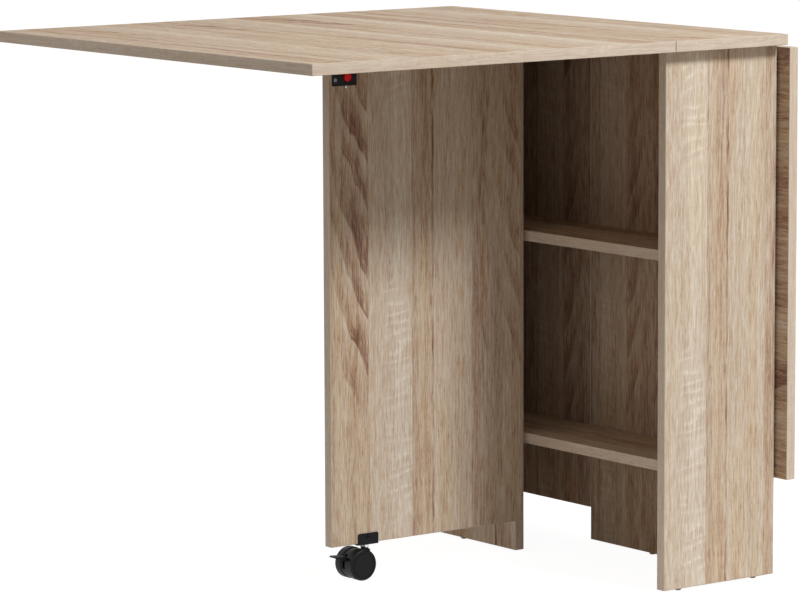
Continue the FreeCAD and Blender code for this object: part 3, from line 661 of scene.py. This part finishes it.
black_plastic = moulded_finish(
    "black_moulded_plastic", paint(9, 9, 10), paint(15, 15, 16), 2400.0, 0.36, 0.52
)
powder_coat = moulded_finish(
    "black_powder_coat", paint(9, 9, 10), paint(15, 15, 16), 1100.0, 0.40, 0.55, POWDER_BUMP
)
glide_plastic = moulded_finish(
    "brown_glide_plastic", paint(138, 124, 112), paint(160, 146, 133), 1800.0, 0.4, 0.55
)
red_plastic = moulded_finish(
    "red_button_plastic", paint(232, 5, 6), paint(244, 10, 9), 1500.0, 0.24, 0.34
)
cover(black_plastic, *both_sides("strike_plate", "catch_housing", "castor_hood", "brake_lever"))
cover(powder_coat, *both_sides("castor_bracket", "castor_screws"))
cover(glide_plastic, "glides")
cover(red_plastic, *both_sides("release_button"))

# %% [markdown]
# ## Wheels
# A castor has two plastic discs on one axle. The mould leaves faint rings about the axle, and the tread picks
# up grey dust from the floor. Rings need the distance from the axle, which the length of the Object
# coordinates gives once they are centred on the axle and flattened along it. A gradient texture would do too,
# but only along one axis.

# %% Wheels
AXLE_AXES = {"left": "y", "right": "x"}
WHEEL_TONES = (paint(8, 8, 9), paint(13, 13, 14))
WHEEL_GLOSS = (0.34, 0.46)
WHEEL_RINGS = 1500.0
WHEEL_BUMP = 0.00003
WHEEL_BUMP_STRENGTH = 0.5
TREAD_DEPTHS = (0.0020, 0.0004)
DUST_SPOTS = 220.0
DUST_TONE = paint(60, 58, 56)
DUST_SHARE = 0.30
DUST_ROUGHNESS = 0.2


def wheel_finish(name, axle, axle_axis, wheel_radius):
    """Black plastic with faint moulding rings about the axle and grey dust on the tread."""
    material, tree, shader = new_finish(name)
    flat = [0.0 if axis == axle_axis else 1.0 for axis in AXES]
    spoke = object_place(tree, flat, axle)
    radius = add_node(tree, "ShaderNodeVectorMath", {0: spoke}, operation="LENGTH").outputs["Value"]
    rings = noise(tree, on_sheet(tree, calc(tree, "MULTIPLY", radius, WHEEL_RINGS), 0.0, 0.0), 1.0)
    dust = smooth_step(tree, noise(tree, object_place(tree), DUST_SPOTS, 3.0), 0.4, 0.7)
    tread = smooth_step(tree, radius, *[wheel_radius - depth for depth in TREAD_DEPTHS])
    worn = product(tree, tread, dust)
    tint = blend(tree, smooth_step(tree, rings, *USUAL_NOISE), *WHEEL_TONES)
    tint = blend(tree, calc(tree, "MULTIPLY", worn, DUST_SHARE), tint, DUST_TONE)
    gloss = smooth_step(tree, rings, *USUAL_NOISE, *WHEEL_GLOSS)
    tree.links.new(tint, shader.inputs["Base Color"])
    tree.links.new(calc(tree, "MULTIPLY_ADD", worn, DUST_ROUGHNESS, gloss), shader.inputs["Roughness"])
    add_bump(tree, shader, rings, WHEEL_BUMP, WHEEL_BUMP_STRENGTH)
    shader.inputs["Specular IOR Level"].default_value = PLASTIC_SPECULAR
    return material


for side, axle_axis in AXLE_AXES.items():
    axle_low, axle_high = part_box("castor_axle_" + side)
    wheel_low, wheel_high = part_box("castor_wheel_outer_" + side)
    wheel_radius = (wheel_high.z - wheel_low.z) / 2
    wheel_black = wheel_finish("black_wheel_" + side, (axle_low + axle_high) / 2, axle_axis, wheel_radius)
    cover(wheel_black, "castor_wheel_inner_" + side, "castor_wheel_outer_" + side)

# %% [markdown]
# ## Dowels
# The dowels that line up the boards are turned beech, pale pink-brown with short dark flecks. They are hidden
# in the joints until the table is taken apart, so one fleck pattern is enough.

# %% Beech dowels
BEECH_TONES = (paint(222, 194, 152), paint(196, 160, 116))
BEECH_GLOSS = (0.5, 0.65)
BEECH_FLECKS = (900.0, 900.0, 900.0)

beech, beech_tree, beech_shader = new_finish("turned_beech")
flecks = noise(beech_tree, object_place(beech_tree, BEECH_FLECKS), 1.0)
beech_tint = blend(beech_tree, smooth_step(beech_tree, flecks, 0.4, 0.65), *BEECH_TONES)
beech_gloss = smooth_step(beech_tree, flecks, *USUAL_NOISE, *BEECH_GLOSS)
beech_tree.links.new(beech_tint, beech_shader.inputs["Base Color"])
beech_tree.links.new(beech_gloss, beech_shader.inputs["Roughness"])
cover(beech, "dowels")

# %% [markdown]
# ## Grip ribs on the brake pedals
# A brake pedal is pressed with the toe, so its moulding has a few low ribs across the top that keep a shoe
# from slipping. They could be modelled one by one, but they are one rounded bar repeated at even steps, and
# that is what Geometry Nodes are for: a row of points, a bar on each of them, and a named input for every
# size. Where the row lies is measured on the pedal itself with two rays dropped on it, so the ribs follow its
# sloping top.

# %% From a tree to a plain mesh
def new_tree(name, kinds):
    """A Geometry Nodes tree with named inputs of the given kinds: the tree, its inputs and its result."""
    tree = bpy.data.node_groups.new(name, "GeometryNodeTree")
    for socket_name, kind in kinds.items():
        add_sockets(tree, "INPUT", kind, socket_name)
    add_sockets(tree, "OUTPUT", "Geometry", "Mesh")
    return tree, tree.nodes.new("NodeGroupInput").outputs, tree.nodes.new("NodeGroupOutput").inputs["Mesh"]


def finish_tree(tree, form, finish, result):
    whole = add_node(tree, "GeometryNodeRealizeInstances", {"Geometry": form}).outputs[0]
    covered = add_node(tree, "GeometryNodeSetMaterial", {"Geometry": whole, "Material": finish}).outputs[0]
    tree.links.new(covered, result)


def wire_mesh(tree, path, radius, sides, thickness=1.0):
    """A round bar along a path, with closed ends."""
    circle = {"Resolution": sides, "Radius": radius}
    outline = add_node(tree, "GeometryNodeCurvePrimitiveCircle", circle).outputs[0]
    inputs = {"Curve": path, "Profile Curve": outline, "Scale": thickness, "Fill Caps": True}
    return add_node(tree, "GeometryNodeCurveToMesh", inputs).outputs[0]


def made_by(tree, name, sizes):
    """A piece that a tree made: its inputs are set, the result becomes its mesh and the modifier goes."""
    piece = bpy.data.objects.new(name, bpy.data.meshes.new(name))
    bpy.context.scene.collection.objects.link(piece)
    modifier = piece.modifiers.new("maker", "NODES")
    modifier.node_group = tree
    for item in tree.interface.items_tree:
        if item.in_out == "INPUT":
            modifier[item.identifier] = sizes[item.name]
    made = bpy.data.meshes.new_from_object(piece.evaluated_get(bpy.context.evaluated_depsgraph_get()))
    piece.modifiers.remove(modifier)
    form = bmesh.new()
    form.from_mesh(made)
    bmesh.ops.recalc_face_normals(form, faces=form.faces)
    form.to_mesh(made)
    form.free()
    made.shade_smooth()
    piece.data = made
    print(name, "has", len(made.polygons), "faces")
    return piece


# %% The rib tree
BAR_POINTS = 9
BAR_SIDES = 10
BAR_END_POWER = 8.0
BAR_END_SHARE = 0.35


def rib_tree():
    """A row of bars with rounded ends, all lying the same way."""
    kinds = {"Count": "Int", "Length": "Float", "Radius": "Float", "Heading": "Float"}
    kinds.update({"Start": "Vector", "Step": "Vector", "Finish": "Material"})
    tree, size, result = new_tree("grip_ribs", kinds)
    half = calc(tree, "MULTIPLY", size["Length"], 0.5)
    left = add_node(tree, "ShaderNodeCombineXYZ", {0: calc(tree, "MULTIPLY", half, -1.0)}).outputs[0]
    right = add_node(tree, "ShaderNodeCombineXYZ", {0: half}).outputs[0]
    path = add_node(tree, "GeometryNodeCurvePrimitiveLine", {"Start": left, "End": right}).outputs[0]
    path = add_node(tree, "GeometryNodeResampleCurve", {"Curve": path, "Count": BAR_POINTS}).outputs[0]
    place = add_node(tree, "GeometryNodeSplineParameter").outputs["Factor"]
    from_middle = calc(tree, "ABSOLUTE", calc(tree, "MULTIPLY_ADD", place, 2.0, -1.0))
    fullness = calc(tree, "SUBTRACT", 1.0, calc(tree, "POWER", from_middle, BAR_END_POWER))
    fullness = calc(tree, "MAXIMUM", calc(tree, "SQRT", fullness), BAR_END_SHARE)
    bar = wire_mesh(tree, path, size["Radius"], BAR_SIDES, fullness)
    row = {"Count": size["Count"], "Start Location": size["Start"], "Offset": size["Step"]}
    points = add_node(tree, "GeometryNodeMeshLine", row).outputs[0]
    turn = add_node(tree, "ShaderNodeCombineXYZ", {2: size["Heading"]}).outputs[0]
    bars = {"Points": points, "Instance": bar, "Rotation": turn}
    repeated = add_node(tree, "GeometryNodeInstanceOnPoints", bars).outputs[0]
    finish_tree(tree, repeated, size["Finish"], result)
    return tree


RIB_TREE = rib_tree()
print("nodes in the rib tree:", len(RIB_TREE.nodes))

# %% Ribs on both pedals
UP = Vector((0.0, 0.0, 1.0))
PEDAL_DIRECTIONS = {"left": Vector((-1.0, 0.0, 0.0)), "right": Vector((0.0, 1.0, 0.0))}
RIB_COUNT = 5
RIB_LENGTH = 0.0098
RIB_RADIUS = 0.0006
RIB_SINK = 0.0002
FIRST_RIB = 0.0045
LAST_RIB = 0.0145
RAY_START = 0.0045


def top_below(name, place):
    """The point of a piece that lies straight below a place."""
    mesh = nodes[name].data
    corners = [corner.co for corner in mesh.vertices]
    surface = BVHTree.FromPolygons(corners, [face.vertices for face in mesh.polygons])
    return surface.ray_cast(place, -UP)[0]


def pedal_ribs(side, outward):
    lever = "brake_lever_" + side
    low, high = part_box(lever)
    axle_low, axle_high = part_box("castor_axle_" + side)
    above = (axle_low + axle_high) / 2
    above.z = high.z + RAY_START
    tip = above + outward * (max(outward.dot(low), outward.dot(high)) - outward.dot(above))
    first = top_below(lever, tip - outward * FIRST_RIB)
    last = top_below(lever, tip - outward * LAST_RIB)
    ribs = made_by(RIB_TREE, "pedal_ribs_" + side, {
        "Count": RIB_COUNT,
        "Length": RIB_LENGTH,
        "Radius": RIB_RADIUS,
        "Heading": math.atan2(outward.x, -outward.y),
        "Start": first - RIB_SINK * UP,
        "Step": (last - first) / (RIB_COUNT - 1),
        "Finish": black_plastic,
    })
    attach(ribs, lever)


for side, outward in PEDAL_DIRECTIONS.items():
    pedal_ribs(side, outward)

# %% [markdown]
# ## Catch springs
# Inside each catch a coil spring lifts the bolt again when the button is let go. The coil follows a rule, so
# a tree winds it: a spiral with a round wire along it. A solid coil can't get shorter, and the bolt would
# sink into it. The wound one stands in for it.

# %% The spring tree
SPIRAL_STEPS = 20
WIRE_SIDES = 8


def spring_tree():
    """A coil that stands upright on its seat."""
    kinds = {"Turns": "Float", "Coil Radius": "Float", "Wire Radius": "Float", "Height": "Float"}
    kinds.update({"Seat": "Vector", "Finish": "Material"})
    tree, size, result = new_tree("coil_spring", kinds)
    winding = {"Resolution": SPIRAL_STEPS, "Rotations": size["Turns"], "Height": size["Height"]}
    winding.update({"Start Radius": size["Coil Radius"], "End Radius": size["Coil Radius"]})
    spiral = add_node(tree, "GeometryNodeCurveSpiral", winding).outputs[0]
    wire = wire_mesh(tree, spiral, size["Wire Radius"], WIRE_SIDES)
    moved = {"Geometry": wire, "Translation": size["Seat"]}
    seated = add_node(tree, "GeometryNodeTransform", moved).outputs[0]
    finish_tree(tree, seated, size["Finish"], result)
    return tree


SPRING_TREE = spring_tree()
print("nodes in the spring tree:", len(SPRING_TREE.nodes))

# %% Coils in both catches
SPRING_TURNS = 5
SPRING_WIRE = 0.00025
SPRING_CLEARANCE = 0.00004


def catch_coil(side):
    low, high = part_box("catch_spring_" + side)
    seat = (low + high) / 2
    seat.z = low.z + SPRING_WIRE + SPRING_CLEARANCE
    coil = made_by(SPRING_TREE, "catch_coil_" + side, {
        "Turns": SPRING_TURNS,
        "Coil Radius": (high.x - low.x) / 2 - SPRING_WIRE,
        "Wire Radius": SPRING_WIRE,
        "Height": high.z - low.z - 2 * (SPRING_WIRE + SPRING_CLEARANCE),
        "Seat": seat,
        "Finish": plated_steel,
    })
    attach(coil, "gate_" + side)
    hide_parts("catch_spring_" + side)
    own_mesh(coil)


for side in SIDES:
    catch_coil(side)

# %% [markdown]
# ## Floor and background
# The picture is a cut-out on white. Strong light on a white floor would give that too, but it would bleach
# the table. So the floor and the world answer two kinds of rays apart. Rays from the camera, or by way of a
# mirror, see white. The light that reaches the table comes from a plain floor, with white paper under the
# table and a greyer studio further out. A share of the floor's own shading stays in what the camera sees, as
# a faint shadow.

# %% The floor
FLOOR_HALF = 30.0
FLOOR_DROP = 0.0004

floor_mesh = bpy.data.meshes.new("studio_floor")
floor_form = bmesh.new()
floor_place = Matrix.Translation(-FLOOR_DROP * UP)
bmesh.ops.create_grid(floor_form, x_segments=1, y_segments=1, size=FLOOR_HALF, matrix=floor_place)
floor_form.to_mesh(floor_mesh)
floor_form.free()
floor = bpy.data.objects.new("studio_floor", floor_mesh)
bpy.context.scene.collection.objects.link(floor)
print("the floor lies", FLOOR_DROP, "metres below the wheels")

# %% White paper on a grey floor
WHITE = (1.0, 1.0, 1.0, 1.0)
PAPER_TONE = paint(242, 241, 239)
STUDIO_TONE = paint(180, 176, 171)
PAPER_MIDDLE = (0.25, -0.05, 0.0)
PAPER_REACH = (0.5, 1.3)
FLOOR_ROUGHNESS = 0.9
FLOOR_SPECULAR = 0.1
FLOOR_WHITE_SHARE = 0.78
FLOOR_WHITE = 1.22


def seen_directly(tree):
    """One for rays from the camera, a mirror or glass, and nothing for the light on the table."""
    path = add_node(tree, "ShaderNodeLightPath").outputs
    mirrored = calc(tree, "MAXIMUM", path["Is Glossy Ray"], path["Is Transmission Ray"])
    return calc(tree, "MAXIMUM", path["Is Camera Ray"], mirrored)


floor_paint, floor_tree, floor_shader = new_finish("white_floor")
paper_place = {0: object_place(floor_tree, centre=PAPER_MIDDLE)}
from_paper = add_node(floor_tree, "ShaderNodeVectorMath", paper_place, operation="LENGTH").outputs["Value"]
beyond_paper = smooth_step(floor_tree, from_paper, *PAPER_REACH)
lighting_table = calc(floor_tree, "SUBTRACT", 1.0, seen_directly(floor_tree))
greyer = product(floor_tree, beyond_paper, lighting_table)
floor_tint = blend(floor_tree, greyer, PAPER_TONE, STUDIO_TONE)
floor_tree.links.new(floor_tint, floor_shader.inputs["Base Color"])
floor_shader.inputs["Roughness"].default_value = FLOOR_ROUGHNESS
floor_shader.inputs["Specular IOR Level"].default_value = FLOOR_SPECULAR
white_glow = {"Color": WHITE, "Strength": FLOOR_WHITE}
white_light = add_node(floor_tree, "ShaderNodeEmission", white_glow).outputs[0]
white_share = calc(floor_tree, "MULTIPLY", seen_directly(floor_tree), FLOOR_WHITE_SHARE)
floor_parts = {0: white_share, 1: floor_shader.outputs[0], 2: white_light}
floor_mix = add_node(floor_tree, "ShaderNodeMixShader", floor_parts).outputs[0]
floor_tree.links.new(floor_mix, floor_tree.nodes["Material Output"].inputs["Surface"])
floor_mesh.materials.append(floor_paint)
print("nodes in the floor's finish:", len(floor_tree.nodes))

# %% [markdown]
# ## Light
# The shadow of the leaf on the gate tells where the lamp stood: in front of the table, slightly to its right
# and about forty degrees up. A sun would light everything alike, but here the light falls off towards the
# back, so the key is a round area lamp, and its width gives the soft edge of that shadow. Two broad weak
# lamps, one overhead and one behind on the left, and a pale world, a little warmer than the key, fill the
# shade.

# %% The world
FILL_TONE = paint(255, 247, 243)
FILL_STRENGTH = 0.345

world = bpy.data.worlds.new("white_studio")
bpy.context.scene.world = world
world.use_nodes = True
world_tree = world.node_tree
world_tree.nodes.clear()
fill_light = {"Color": FILL_TONE, "Strength": FILL_STRENGTH}
fill = add_node(world_tree, "ShaderNodeBackground", fill_light).outputs[0]
backdrop = add_node(world_tree, "ShaderNodeBackground", {"Color": WHITE, "Strength": 1.0}).outputs[0]
world_parts = {0: seen_directly(world_tree), 1: fill, 2: backdrop}
world_mix = add_node(world_tree, "ShaderNodeMixShader", world_parts).outputs[0]
add_node(world_tree, "ShaderNodeOutputWorld", {"Surface": world_mix})
print("nodes in the world:", len(world_tree.nodes))

# %% Lamps
# Each lamp: strength in watts, width and distance in metres, the place that it points at, and its heading
# from the front of the table and its height, both in degrees
LAMPS = {
    "key_lamp": (96.0, 0.86, 3.4, (-0.1, -0.37, 0.74), 13.8, 39.0),
    "side_lamp": (9.0, 1.2, 2.8, (-0.3, 0.0, 0.6), -125.0, 15.0),
    "ceiling_lamp": (4.6, 1.5, 1.55, (-0.2, 0.1, 0.75), 0.0, 90.0),
}


def towards(heading, height):
    """The direction to a lamp, by its heading from the front of the table and its height in degrees."""
    azimuth, elevation = math.radians(heading), math.radians(height)
    flat = math.cos(elevation)
    return Vector((math.sin(azimuth) * flat, -math.cos(azimuth) * flat, math.sin(elevation)))


def disc_lamp(name, strength, width, distance, aim, heading, height):
    lamp = bpy.data.objects.new(name, bpy.data.lights.new(name, "AREA"))
    lamp.data.shape = "DISK"
    lamp.data.size = width
    lamp.data.energy = strength
    direction = towards(heading, height)
    lamp.location = Vector(aim) + distance * direction
    lamp.rotation_euler = direction.to_track_quat("Z", "Y").to_euler()
    lamp.visible_camera = False
    bpy.context.scene.collection.objects.link(lamp)
    print(name, "stands at", [round(value, 2) for value in lamp.location])


for lamp_name, settings in LAMPS.items():
    disc_lamp(lamp_name, *settings)
